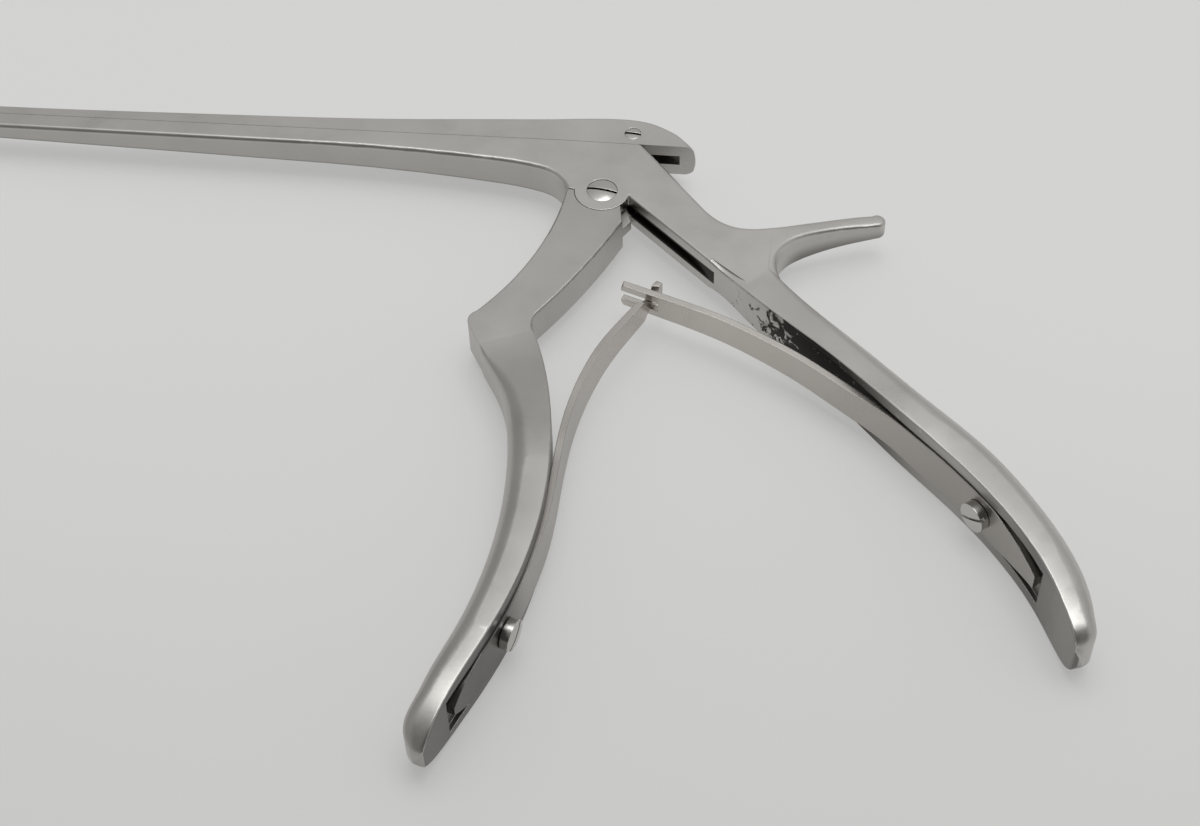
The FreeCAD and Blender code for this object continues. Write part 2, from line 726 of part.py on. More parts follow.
def make_rear_spring():
    body = new_body("rear_spring")
    back = [V(*p, 0) for p in REAR_FREE] + seated_back(REAR_GRIP, REAR_SIDE, "rear")
    strip(body, back, size("spring_thickness"), REAR_SIDE)

    wide, end = size("spring_width") / 2, size("spring_end_width") / 2
    slit = size("fork_width") / 2
    x0, x1 = back[0].x, back[-1].x
    half = [(x0 - 0.8, slit), (x0 - 0.4, slit + 0.5 * (end - slit)), (x0, end), (back[4].x, end + 0.4), (48, wide - 0.8),
            (60, wide), (x1 - 7, wide), (x1 - 3.5, wide * 0.7), (x1 - 1.2, wide * 0.4), (x1 + 0.5, wide * 0.15)]
    frame = loop([(x0 - 8, -20), (x1 + 8, -20), (x1 + 8, 20), (x0 - 8, 20)])
    slit_end = 12.3
    upper = half
    lower = [(a, -b) for a, b in reversed(half)]
    trim = chain(upper + lower)
    trim += [line(lower[-1], (slit_end, -slit)), line((slit_end, -slit), (slit_end, slit)),
             line((slit_end, slit), upper[0])]
    pocket(body, "rear_spring_trim", sketch(body, "rear_spring_trim_view", frame + trim, "XZ_Plane"), both=True)
    return body


def make_front_spring():
    body = new_body("front_spring")
    back = [V(*p, 0) for p in FRONT_FREE] + seated_back(FRONT_GRIP, FRONT_SIDE, "front")
    strip(body, back, size("spring_thickness"), FRONT_SIDE)

    wide, end = size("spring_width") / 2, size("spring_end_width") / 2
    neck = size("neck_width") / 2
    y0, y1 = back[0].y, back[-1].y
    # T head, neck between the prongs, then the widening leaf
    half = [(y0 + 1.5, end * 0.7), (y0 - 0.5, end), (y0 - 1.4, end), (y0 - 1.8, neck), (y0 - 6.0, neck),
            (y0 - 7.5, end), (-45, end + 0.5), (-62, wide - 0.8), (-78, wide), (y1 + 8, wide), (y1 + 3, wide * 0.8),
            (y1 + 1, wide * 0.5), (y1 - 0.5, wide * 0.2)]
    frame = loop([(y0 + 8, -20), (y1 - 8, -20), (y1 - 8, 20), (y0 + 8, 20)])
    pocket(body, "front_spring_trim",
           sketch(body, "front_spring_trim_view", frame + mirrored_outline(half), "YZ_Plane"), both=True)
    return body


# Screws: turned profiles along +Z with a slot across the head
def make_screw(name, head_radius, head, crown, steps, slot_angle):
    """Head from z = 0 up, crowned; steps are (radius, depth) pairs going down from the head."""
    body = new_body(name)
    outline = [line((0, head + crown), (0, -steps[-1][1]))]
    at = (0, -steps[-1][1])
    for number in range(len(steps) - 1, -1, -1):
        radius, _ = steps[number]
        above = steps[number - 1][1] if number else 0
        outline.append(line(at, (radius, at[1])))
        outline.append(line((radius, at[1]), (radius, -above)))
        at = (radius, -above)
    outline.append(line(at, (head_radius, 0)))
    outline.append(line((head_radius, 0), (head_radius, head)))
    outline.append(arc((head_radius, head), (head_radius * 0.55, head + crown * 0.7), (0, head + crown)))
    drawn = sketch(body, name + "_profile", outline, "XZ_Plane")
    turned = body.newObject("PartDesign::Revolution", name + "_turned")
    turned.Profile = drawn
    turned.ReferenceAxis = (drawn, ["V_Axis"])
    turned.Angle = 360
    doc.recompute()
    wide = size("driver_slot") / 2
    turn = FreeCAD.Placement(V(0, 0, head + crown + 1), FreeCAD.Rotation(V(0, 0, 1), slot_angle))
    across_head = loop([(-head_radius - 1, -wide), (head_radius + 1, -wide), (head_radius + 1, wide),
                        (-head_radius - 1, wide)])
    pocket(body, name + "_slot", sketch(body, name + "_slot_view", across_head, place=turn),
           "%.6f" % (1 + crown + head * 0.5))
    return body


frame = make_frame()
slide = make_slide()
front_handle = make_front_handle()
rear_spring = make_rear_spring()
front_spring = make_front_spring()

cheek = (THICK - size("tang_thickness")) / 2 - size("tang_gap")
pivot_screw = make_screw(
    "pivot_screw", size("pivot_head_radius"), size("pivot_head_depth") - 0.1, size("pivot_crown"),
    [(size("pivot_radius"), THICK / 2 - size("pivot_head_depth") + THICK / 2 - cheek),
     (size("pivot_thread_radius"), THICK - size("pivot_head_depth") - 0.1)], -8)
drive_screw = make_screw(
    "drive_screw", size("drive_head_radius"), size("drive_head_depth") - 0.05, size("drive_crown"),
    [(size("drive_radius"), THICK - size("drive_head_depth") - 0.7)], -5)
clamps = []
for name, grip, side in (("rear", REAR_GRIP, REAR_SIDE), ("front", FRONT_GRIP, FRONT_SIDE)):
    screw = make_screw(name + "_spring_screw", size("clamp_head_radius"), size("clamp_head_height"), 0.25,
                       [(size("clamp_radius"), size("clamp_length"))], 35)
    place = clamp_place(grip, side, name)
    place.Base = place.Base + place.Rotation.multVec(V(0, 0, size("spring_thickness") + size("clamp_head_gap")))
    clamps.append((screw, place))

# Hole for the screw in each spring
for spring, grip, side, name in ((rear_spring, REAR_GRIP, REAR_SIDE, "rear"),
                                 (front_spring, FRONT_GRIP, FRONT_SIDE, "front")):
    place = clamp_place(grip, side, name)
    place.Base = place.Base + place.Rotation.multVec(V(0, 0, 2 * size("spring_thickness")))
    hole = sketch(spring, spring.Name + "_hole_view", [Part.Circle(V(), V(0, 0, 1), size("clamp_radius"))], place=place)
    number = hole.addConstraint(Sketcher.Constraint("Radius", 0, size("clamp_radius")))
    hole.setExpression("Constraints[%d]" % number, cell("clamp_radius") + " + " + cell("seat_gap"))
    pocket(spring, spring.Name + "_hole", hole, "4 * " + cell("spring_thickness"))

# Everything moves together: the origin is the middle of the underside
PLACES = [(frame, FreeCAD.Placement()), (slide, FreeCAD.Placement()), (front_handle, FreeCAD.Placement()),
          (rear_spring, FreeCAD.Placement()), (front_spring, FreeCAD.Placement()),
          (pivot_screw, FreeCAD.Placement(V(0, 0, THICK / 2 - size("pivot_head_depth")), FreeCAD.Rotation())),
          (drive_screw, FreeCAD.Placement(V(size("pin_back"), size("pin_height"), THICK / 2 - size("drive_head_depth")),
                                          FreeCAD.Rotation()))] + clamps
extent = FreeCAD.BoundBox()
for body in (frame, slide, front_handle):
    extent.add(body.Shape.optimalBoundingBox())
shift = V(-extent.Center.x, -extent.Center.y, size("grip_thickness") / 2)
for body, place in PLACES:
    body.Placement = FreeCAD.Placement(place.Base + shift, place.Rotation)
doc.recompute()

for thing in doc.Objects:
    if "Invalid" in thing.State or "Error" in thing.State:
        raise RuntimeError("%s failed: %s" % (thing.Name, thing.State))

os.makedirs("parts", exist_ok=True)
for body, _ in PLACES:
    shape = body.Shape
    if shape.isNull() or not shape.isValid() or len(shape.Solids) != 1:
        raise RuntimeError("%s has no valid single solid" % body.Label)
    shape.exportStep("parts/%s.step" % body.Label)
    print("%-20s %9.1f mm3" % (body.Label, shape.Volume))
print("pivot axis at x = %.4f, y = %.4f" % (shift.x, shift.y))
print("travel of the slide %.4f mm over %.1f degrees" % (TRAVEL, size("closing_angle")))
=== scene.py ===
"""Looks of a bone rongeur that lies open on its side: steel finishes, leaf springs cut into short parts, and
the stage.
"""
import json
import math

import bmesh
import bpy
from mathutils import Matrix, Vector


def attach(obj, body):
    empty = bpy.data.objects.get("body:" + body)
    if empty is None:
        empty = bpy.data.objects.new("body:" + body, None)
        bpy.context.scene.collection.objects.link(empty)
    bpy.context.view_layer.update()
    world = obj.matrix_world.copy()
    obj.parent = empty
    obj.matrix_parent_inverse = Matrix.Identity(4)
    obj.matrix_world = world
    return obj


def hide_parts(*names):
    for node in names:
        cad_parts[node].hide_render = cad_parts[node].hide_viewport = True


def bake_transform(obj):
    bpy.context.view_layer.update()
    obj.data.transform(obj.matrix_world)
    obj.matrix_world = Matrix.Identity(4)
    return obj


bl_info = {
    "name": "Bone rongeur looks",
    "version": (1, 0, 0),
    "blender": (4, 5, 0),
    "location": "View3D > Sidebar > Rongeur",
    "description": "Finishes, bending springs and stage for a bone rongeur with a sliding shaft",
    "category": "Object",
}

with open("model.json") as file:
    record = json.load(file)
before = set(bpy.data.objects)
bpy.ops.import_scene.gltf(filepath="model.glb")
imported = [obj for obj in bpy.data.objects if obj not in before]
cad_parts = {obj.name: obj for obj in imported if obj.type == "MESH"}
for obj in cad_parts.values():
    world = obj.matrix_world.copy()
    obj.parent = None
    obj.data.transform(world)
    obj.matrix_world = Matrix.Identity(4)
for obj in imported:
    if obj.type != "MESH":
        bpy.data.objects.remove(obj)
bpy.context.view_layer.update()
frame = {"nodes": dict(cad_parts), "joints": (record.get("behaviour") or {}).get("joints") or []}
PIVOT = Vector(frame["joints"][0]["pos_m"])

# Places and distances are in millimetres and start at the pivot, at half the thickness of the body. The
# camera's roll is in degrees
CAMERA_PLACE = (35.41, -278.16, 285.06)
CAMERA_AIM = (4.06, -43.29, -6.5)
CAMERA_ROLL = -1.92

# The front spring's shoulders, below the pivot, and how far they are moved to sit right under the fork
SHOULDERS = (25.5, 27.8)
SHOULDER_MOVE = (1.1, 2.05, 0.0)

# Below the pivot, where the front spring starts to widen and is at its fullest, and where it narrows again
WIDENS = (24.5, 38.5)
NARROWS = (56.0, 78.0)

# Below the pivot, where the springs get darker towards their screws, and where their tails are in the shade
SPRING_FADE = (26.0, 64.0)
SPRING_TAIL = (84.0, 93.0)

# Inner faces of the two grips, and the line along the rear one on which its stained blotches begin, close up
# to black that is partly painted shadow under the spring, and end
REAR_INNER = (-0.694, -0.72, 0.0)
FRONT_INNER = (0.95, -0.31, 0.0)
STAIN_SHADOW_LINE = (0.72, -0.694, 0.0)
STAIN_START, STAIN_SHADOW_FULL, STAIN_SHADOW_END = 31.5, 53.0, 92.0

# The tang's slot in the rear handle: its start and end along the handle, half its width, and its depth
SLOT_START, SLOT_END, SLOT_HALF = 5.0, 26.7, 1.45
SLOT_DEPTH = (8.0, 7.5)

# Height of the seam between slide and shaft, and the band beside it in which no edge shines
SEAM = 12.2
SEAM_BAND = (0.3, 0.7)

# Middle of the faint step where the rear grip grows out of the body's near side, and how far it reaches
ROOT_STEP = (23.6, -17.6, 3.5)
ROOT_STEP_REACH = (3.8, 5.2)

# Direction that the undersides face, on which shade is painted
UNDERSIDE = (0.0, -0.35, -0.937)

# The thumb spur's far half, darker as painted shade: across, up and into its thickness
SPUR_OUT, SPUR_UP, SPUR_LOW = (31.0, 37.0), (-13.0, -9.0), (-2.4, 0.8)

# The thumb spur gets thinner from here on outwards, above this height
SPUR_TAPER, SPUR_FLOOR = (36.0, 50.0), -9.0

# Where each grip starts and ends on its inner face, and its direction there
REAR_ROOT, REAR_RUN = (20.5, -15.63), (0.714, -0.70)
FRONT_ROOT, FRONT_RUN = (-8.1, -34.3), (0.38, -0.925)
REAR_END, REAR_END_RUN = (80.0, -85.6), (0.345, -0.939)
FRONT_END, FRONT_END_RUN = (-11.0, -107.6), (-0.325, -0.946)

# The grips' roots: how much of the rear one's thickness goes, how far along and over what length, and the
# length over which the front one grows out of the body
ROOT_BEFORE = -3.0
REAR_THIN, REAR_THIN_AT, REAR_THIN_OVER = 0.27, 17.0, 8.5
FRONT_GROWS_OVER = 5.0

# The grips' ends: how far the fuller part reaches along and across, and the reach at which it is full
END_ALONG, END_ACROSS, END_FULL = (0.0, 14.0), (-3.0, 12.0), 6.0
REAR_SHORTER, FRONT_SHORTER = 0.03, 0.004

# The domes on the grips' ends: height, radius around each corner, depth of the flat cap that each takes the
# place of, and the sizes of its rings. For each grip, where its end begins and how close its vertices merge
DOME_HEIGHT, DOME_RADIUS, CAP_DEPTH = 0.8, 16.0, 0.05
DOME_RINGS = (0.85, 0.7, 0.52, 0.34, 0.16)
REAR_DOME, FRONT_DOME = (4.0, 0.22), (8.0, 0.2)

# Height of the slotted crown on each flush screw, under which its slot is painted black as shade
CROWNS = {"pivot_screw": 0.36, "drive_screw": 0.2}

# Shares of the steel's colour: rubbed edges, partly a painted highlight; wipe marks; and what is left where
# shade is painted on the undersides, the spur's far half, the front grip and the springs' tails, on the
# darker inner faces, and on the springs near their screws
WORN_SHEEN, WIPED_DARK, WIPED_LIGHT = 1.35, 0.92, 1.06
UNDER_SHADE, INNER, SPUR_SHADE, FRONT_GRIP_SHADE = 0.5, 0.34, 0.42, 0.86
SPRING_ENDS, SPRING_TAILS = 0.66, 0.25
# Painted shade: black for the deep slots of the flush screws
SLOT_SHADE_BLACK = (0.012, 0.011, 0.01)

# How much rougher and smoother the steel gets by its grain and by wiping, and what rubbing leaves of it
GRAIN_SPREAD, WIPE_SPREAD, RUBBED = 0.08, 0.07, 0.72

# The table, in metres: half its size, the tone of its glow in front and behind, darker in front and lighter
# behind as painted light, and where that changes
TABLE_HALF = 3.0
TABLE_FRONT, TABLE_BACK = (0.61, 0.61, 0.596), (0.765, 0.765, 0.755)
TABLE_CHANGE = (-0.12, 0.06)

# Tones of the room from its floor to its ceiling, and of its dark front and its left side
ROOM_TONES = [(0.0, 0.50), (0.55, 0.56), (0.76, 0.60), (0.93, 0.86), (1.0, 0.94)]
ROOM_FRONT, ROOM_FRONT_SPAN, ROOM_FRONT_TONE = (0.05, -0.80, 0.60), (0.50, 0.86), (0.13, 0.128, 0.125)
ROOM_LEFT_SPAN, ROOM_LEFT_SHARE, ROOM_LEFT_TONE = (0.15, 0.55), 0.6, (0.34, 0.338, 0.332)

# The lamp's place and size, in metres
LAMP_PLACE, LAMP_SIZE = (0.16, 0.12, 1.2), (1.0, 0.7)

ALONG_X, ALONG_Y, ALONG_Z = (1.0, 0.0, 0.0), (0.0, 1.0, 0.0), (0.0, 0.0, 1.0)
DOWN_Y = (0.0, -1.0, 0.0)


def from_pivot(point):
    return PIVOT + Vector(point) / 1000


def progress(value, start, end):
    """How far a value has come from start to end, between 0 and 1."""
    return min(1.0, max(0.0, (value - start) / (end - start)))


def tinted(colour, share):
    return tuple(min(1.0, channel * share) for channel in colour)


class SteelSettings(bpy.types.PropertyGroup):
    colour: bpy.props.FloatVectorProperty(
        name="Steel colour", description="Colour that the satin steel reflects", subtype="COLOR", size=3,
        min=0.0, max=1.0, default=(0.55, 0.538, 0.512))
    roughness: bpy.props.FloatProperty(
        name="Satin roughness", description="Roughness of the ground and glass-beaded faces",
        min=0.0, max=1.0, default=0.31)
    spring_colour: bpy.props.FloatVectorProperty(
        name="Spring colour", description="Colour that the leaf springs reflect", subtype="COLOR", size=3,
        min=0.0, max=1.0, default=(0.585, 0.555, 0.52))
    spring_roughness: bpy.props.FloatProperty(
        name="Spring roughness", description="Roughness of the leaf springs",
        min=0.0, max=1.0, default=0.30)
    screw_roughness: bpy.props.FloatProperty(
        name="Screw roughness", description="Roughness of the turned screw heads",
        min=0.0, max=1.0, default=0.18)
    edge_round: bpy.props.FloatProperty(
        name="Edge rounding", description="How far the broken edges catch the light", subtype="DISTANCE",
        unit="LENGTH", min=0.0, max=0.002, precision=5, default=0.00022)
    # Colour of the stained blotches and of the painted shadow that they close up to under the spring
    stain_and_shadow_colour: bpy.props.FloatVectorProperty(
        name="Stain colour", description="Dark film on the rear handle's inner face",
        subtype="COLOR", size=3, min=0.0, max=1.0, default=(0.022, 0.018, 0.014))


class ForgingSettings(bpy.types.PropertyGroup):
    cheek: bpy.props.FloatProperty(
        name="Body half thickness", description="Half the thickness of the flat body and shoulders",
        subtype="DISTANCE", unit="LENGTH", min=0.001, precision=4, default=0.0035)
    rear_blunt: bpy.props.FloatProperty(
        name="Rear end bluntness", description="How much fuller the rear grip's end is",
        min=0.0, max=1.0, default=0.5)
    front_blunt: bpy.props.FloatProperty(
        name="Front end bluntness", description="How much fuller the front grip's end is",
        min=0.0, max=1.0, default=0.26)
    spur_taper: bpy.props.FloatProperty(
        name="Spur taper", description="How much thinner the thumb spur gets towards its tip",
        min=0.0, max=0.6, default=0.28)
    sharp_angle: bpy.props.FloatProperty(
        name="Crisp edges", description="Faces that meet at more than this angle keep a crisp edge",
        subtype="ANGLE", unit="ROTATION", min=0.1, max=1.5, default=math.radians(26))


class SpringSettings(bpy.types.PropertyGroup):
    cut_length: bpy.props.FloatProperty(
        name="Bending length", description="Length of the short straight parts that a spring is cut into",
        subtype="DISTANCE", unit="LENGTH", min=0.0005, max=0.01, precision=4, default=0.002)
    front_fullness: bpy.props.FloatProperty(
        name="Front spring fullness", description="How much wider the front spring is half way up",
        min=1.0, max=1.4, default=1.24)
    edge_bevel: bpy.props.FloatProperty(
        name="Spring edge bevel", description="Bevel of the springs' edges", subtype="DISTANCE",
        unit="LENGTH", min=0.0, max=0.0005, precision=5, default=0.00014)


class StageSettings(bpy.types.PropertyGroup):
    lens: bpy.props.FloatProperty(
        name="Focal length", description="Focal length of the camera in millimetres",
        min=10.0, default=66.0)
    floor_colour: bpy.props.FloatVectorProperty(
        name="Table colour", description="Colour of the table top", subtype="COLOR", size=3,
        min=0.0, max=1.0, default=(0.765, 0.765, 0.755))
    floor_glow: bpy.props.FloatProperty(
        name="Table glow", description="Share of the table's tone that no shadow takes away",
        min=0.0, max=1.0, default=0.5)
    ceiling_power: bpy.props.FloatProperty(
        name="Ceiling light", description="Power of the large soft light above, a little behind the object",
        min=0.0, default=4.0)
    room_strength: bpy.props.FloatProperty(
        name="Room light", description="Strength of the pale room", min=0.0, default=1.0)


# Node helpers
def new_material(name):
    material = bpy.data.materials.new(name)
    material.use_nodes = True
    nodes = material.node_tree.nodes
    return material, nodes, material.node_tree.links, nodes["Principled BSDF"]


def add(nodes, kind, **values):
    node = nodes.new(kind)
    for name, value in values.items():
        if name in node.inputs:
            node.inputs[name].default_value = value
        else:
            setattr(node, name, value)
    return node


def ramp(nodes, stops):
    node = nodes.new("ShaderNodeValToRGB")
    elements = node.color_ramp.elements
    while len(elements) < len(stops):
        elements.new(0.5)
    for element, (place, value) in zip(elements, stops):
        element.position = place
        element.color = (value, value, value, 1.0) if isinstance(value, float) else (*value, 1.0)
    return node


def span(nodes, links, source, low, high, to_low=0.0, to_high=1.0):
    """Maps a value from one range to another, smoothly and without leaving it."""
    node = add(nodes, "ShaderNodeMapRange", interpolation_type="SMOOTHSTEP")
    for name, value in (("From Min", low), ("From Max", high), ("To Min", to_low), ("To Max", to_high)):
        node.inputs[name].default_value = value
    links.new(source, node.inputs["Value"])
    return node.outputs["Result"]


def combine(nodes, links, operation, first, second):
    node = add(nodes, "ShaderNodeMath", operation=operation)
    for number, value in enumerate((first, second)):
        if isinstance(value, float):
            node.inputs[number].default_value = value
        else:
            links.new(value, node.inputs[number])
    return node.outputs["Value"]


def product(nodes, links, first, *others):
    for other in others:
        first = combine(nodes, links, "MULTIPLY", first, other)
    return first


def towards(nodes, links, source, direction):
    """How far a vector points along a direction."""
    node = add(nodes, "ShaderNodeVectorMath", operation="DOT_PRODUCT")
    links.new(source, node.inputs[0])
    node.inputs[1].default_value = direction
    return node.outputs["Value"]


def along_line(nodes, links, place, line, first, last, to_low=0.0, to_high=1.0):
    """Maps the part of a line through the pivot between two distances to a range, smoothly."""
    zero = PIVOT.dot(Vector(line))
    distance = towards(nodes, links, place, line)
    return span(nodes, links, distance, zero + first / 1000, zero + last / 1000, to_low, to_high)


def off_plane(nodes, links, place, line, level):
    """How far a place is, on either side, from the plane that crosses a line at a distance from the pivot."""
    zero = PIVOT.dot(Vector(line))
    gap = combine(nodes, links, "SUBTRACT", towards(nodes, links, place, line), zero + level / 1000)
    return combine(nodes, links, "ABSOLUTE", gap, 0.0)


def blend_colours(nodes, links, share, below, above):
    node = add(nodes, "ShaderNodeMix", data_type="RGBA")
    links.new(share, node.inputs["Factor"])
    for name, value in (("A", below), ("B", above)):
        socket = next(s for s in node.inputs if s.name == name and s.type == "RGBA")
        if isinstance(value, tuple):
            socket.default_value = (*value, 1.0)
        else:
            links.new(value, socket)
    return next(s for s in node.outputs if s.type == "RGBA")


def satin_steel(name, colour, roughness, edge_round, grain=1.0, scratch_turn=0.35, inner=None, stain_and_shade=None,
                seam=False, deep=None, under=None, fade=None):
    """Satin stainless steel: beaded grain, wipe marks, tiny scratches, and rubbed edges whose lighter colour
    is partly a painted highlight.

    inner: direction of a grip's inner face, which is darker from half way down
    stain_and_shade: colour of the rear grip's stained blotches and of the painted shadow that they close up
    to; with it, the thumb spur's far half gets painted shade
    seam: no edge shines along the seam of slide and shaft, and at the step of the rear grip's root
    deep: height of the object under which a screw's slot is painted black as shade
    under: share of the colour that is left on the undersides, which are darker as painted shade
    fade: share of the colour that is left on a spring near its screw; its tail is also darker, as painted
    shade
    """
    material, nodes, links, shader = new_material(name)
    place = add(nodes, "ShaderNodeTexCoord").outputs["Object"]
    surface = add(nodes, "ShaderNodeNewGeometry")
    face = surface.outputs["Normal"]
    shader.inputs["Metallic"].default_value = 1.0

    # Cloudy wipe marks, a few millimetres wide
    cloud = add(nodes, "ShaderNodeTexNoise", Scale=70.0, Detail=5.0, Roughness=0.6, Distortion=0.4)
    links.new(place, cloud.inputs["Vector"])
    tint = ramp(nodes, [(0.28, tinted(colour, WIPED_DARK)), (0.5, tuple(colour)),
                        (0.74, tinted(colour, WIPED_LIGHT))])
    links.new(cloud.outputs["Fac"], tint.inputs["Fac"])

    # The broken edges are rubbed smoother than the faces, and lighter in colour: partly from use, partly a
    # painted highlight
    broken = broken_edges(nodes, links, place, face, edge_round, seam)
    match = add(nodes, "ShaderNodeVectorMath", operation="DOT_PRODUCT")
    links.new(broken, match.inputs[0])
    links.new(face, match.inputs[1])
    wear_and_sheen = span(nodes, links, match.outputs["Value"], 0.995, 0.90)
    steel_tone = blend_colours(nodes, links, wear_and_sheen, tint.outputs["Color"], tinted(colour, WORN_SHEEN))

    # Fine scratches along the pieces, and the grain that glass beads leave
    turn = (0.0, 0.0, scratch_turn)
    stretch = add(nodes, "ShaderNodeMapping", Scale=(220.0, 2600.0, 2600.0), Rotation=turn)
    links.new(place, stretch.inputs["Vector"])
    scratch = add(nodes, "ShaderNodeTexNoise", Scale=1.0, Detail=3.0, Roughness=0.55)
    links.new(stretch.outputs["Vector"], scratch.inputs["Vector"])
    beads = add(nodes, "ShaderNodeTexNoise", Scale=3000.0, Detail=2.0, Roughness=0.6)
    links.new(place, beads.inputs["Vector"])
    marks = combine(nodes, links, "ADD", scratch.outputs["Fac"], beads.outputs["Fac"])

    smooth, coarse = roughness * (1 - GRAIN_SPREAD), roughness * (1 + GRAIN_SPREAD)
    grained = span(nodes, links, marks, 0.6, 1.4, smooth, coarse)
    wiped = span(nodes, links, cloud.outputs["Fac"], 0.3, 0.7, 1 - WIPE_SPREAD, 1 + WIPE_SPREAD)
    rubbed = span(nodes, links, wear_and_sheen, 0.0, 1.0, 1.0, RUBBED)
    rough = product(nodes, links, grained, wiped, rubbed)

    # Painted shade: the undersides are darker
    if under:
        down = span(nodes, links, towards(nodes, links, face, UNDERSIDE), 0.15, 0.75)
        steel_tone = blend_colours(nodes, links, down, steel_tone, tinted(colour, under))
    if fade:
        away = along_line(nodes, links, place, DOWN_Y, *SPRING_FADE)
        steel_tone = blend_colours(nodes, links, away, steel_tone, tinted(colour, fade))
        # Painted shade: the springs' tails are darker
        tail = along_line(nodes, links, place, DOWN_Y, *SPRING_TAIL)
        steel_tone = blend_colours(nodes, links, tail, steel_tone, tinted(colour, SPRING_TAILS))
    # The grips' inner faces are darker from half way down
    if inner:
        inner_dark_share = inner_darkening(nodes, links, face, surface.outputs["Position"], inner)
        steel_tone = blend_colours(nodes, links, inner_dark_share, steel_tone, tinted(colour, INNER))
    if stain_and_shade:
        # Painted shade on the thumb spur's far half
        spur = spur_shade(nodes, links, place)
        steel_tone = blend_colours(nodes, links, spur, steel_tone, tinted(colour, SPUR_SHADE))
        # Stained blotches, closing up to black that is partly painted shadow under the spring
        share = stains_and_shadow(nodes, links, place, face)
        steel_tone = blend_colours(nodes, links, share, steel_tone, tuple(stain_and_shade))
        links.new(span(nodes, links, share, 0.0, 1.0, 1.0, 0.35), shader.inputs["Metallic"])
        rough = combine(nodes, links, "ADD", rough, span(nodes, links, share, 0.0, 1.0, 0.0, 0.25))
    # Painted shade: a screw's slot is black below its crown
    if deep:
        above = span(nodes, links, towards(nodes, links, place, ALONG_Z), deep - 0.0001, deep)
        steel_tone = blend_colours(nodes, links, above, SLOT_SHADE_BLACK, steel_tone)
    links.new(steel_tone, shader.inputs["Base Color"])
    links.new(rough, shader.inputs["Roughness"])

    bump = add(nodes, "ShaderNodeBump", Strength=0.035 * grain, Distance=0.00004)
    links.new(marks, bump.inputs["Height"])
    links.new(broken, bump.inputs["Normal"])
    links.new(bump.outputs["Normal"], shader.inputs["Normal"])
    return material


def broken_edges(nodes, links, place, face, edge_round, seam):
    """Normal of the faces with their edges broken, which stays flat at the seam and at the root's step."""
    edge = add(nodes, "ShaderNodeBevel", samples=6, Radius=edge_round).outputs["Normal"]
    if not seam:
        return edge
    beside = off_plane(nodes, links, place, ALONG_Y, SEAM)
    root = add(nodes, "ShaderNodeVectorMath", operation="DISTANCE")
    links.new(place, root.inputs[0])
    root.inputs[1].default_value = from_pivot(ROOT_STEP)
    clear = product(nodes, links, span(nodes, links, beside, *[mm / 1000 for mm in SEAM_BAND]),
                    span(nodes, links, root.outputs["Value"], *[mm / 1000 for mm in ROOT_STEP_REACH]))
    return blend_colours(nodes, links, clear, face, edge)


def inner_darkening(nodes, links, face, place, inner):
    """Share of the darker tone: the inner face, from half way down the grip."""
    facing = span(nodes, links, towards(nodes, links, face, inner), 0.80, 0.95)
    low = span(nodes, links, towards(nodes, links, place, DOWN_Y), 0.0, 0.03)
    return product(nodes, links, facing, low)


def stains_and_shadow(nodes, links, place, face):
    """Stained blotches on the rear handle's inner face that close up to black under the spring, partly
    painted shadow in the gap there; the tang's slot is painted black as shade.
    """
    blotch = add(nodes, "ShaderNodeTexNoise", Scale=420.0, Detail=4.0, Roughness=0.65, Distortion=0.8)
    links.new(place, blotch.inputs["Vector"])
    growth = along_line(nodes, links, place, STAIN_SHADOW_LINE, STAIN_START, STAIN_SHADOW_FULL, -0.10, 0.22)
    patches = span(nodes, links, combine(nodes, links, "ADD", blotch.outputs["Fac"], growth), 0.52, 0.60)
    begin = along_line(nodes, links, place, STAIN_SHADOW_LINE, STAIN_START - 1, STAIN_START + 1)
    ending = along_line(nodes, links, place, STAIN_SHADOW_LINE, STAIN_SHADOW_FULL, STAIN_SHADOW_END, 1.0, 0.0)
    facing = span(nodes, links, towards(nodes, links, face, REAR_INNER), 0.80, 0.93)
    share = product(nodes, links, patches, begin, ending, facing)
    return combine(nodes, links, "MAXIMUM", share, slot_shade(nodes, links, place))


def spur_shade(nodes, links, place):
    """Painted shade: the thumb spur's rounded far half is darker, as in its own shadow."""
    outward = along_line(nodes, links, place, ALONG_X, *SPUR_OUT)
    above = along_line(nodes, links, place, ALONG_Y, *SPUR_UP)
    low = along_line(nodes, links, place, ALONG_Z, *SPUR_LOW, 1.0, 0.0)
    return product(nodes, links, outward, above, low)


def slot_shade(nodes, links, place):
    """Painted shade: the tang's slot is deep, so it is painted black."""
    run, into = (*REAR_RUN, 0.0), (-REAR_RUN[1], REAR_RUN[0], 0.0)
    first = along_line(nodes, links, place, run, SLOT_START - 0.5, SLOT_START)
    last = along_line(nodes, links, place, run, SLOT_END, SLOT_END + 0.2, 1.0, 0.0)
    depth = along_line(nodes, links, place, into, *SLOT_DEPTH)
    off = off_plane(nodes, links, place, ALONG_Z, 0.0)
    middle = span(nodes, links, off, SLOT_HALF / 1000, (SLOT_HALF + 0.06) / 1000, 1.0, 0.0)
    return product(nodes, links, first, last, depth, middle)


def finish(names, material):
    for name in names:
        piece = frame["nodes"][name]
        piece.data.materials.clear()
        piece.data.materials.append(material)


def own_mesh(node, name):
    """A copy of a node's mesh with its vertices joined up, ready to be shaped."""
    mesh = frame["nodes"][node].data.copy()
    mesh.name = name
    stored = mesh.attributes.get("custom_normal")
    if stored:
        mesh.attributes.remove(stored)
    work = bmesh.new()
    work.from_mesh(mesh)
    bmesh.ops.remove_doubles(work, verts=work.verts, dist=1e-6)
    return mesh, work


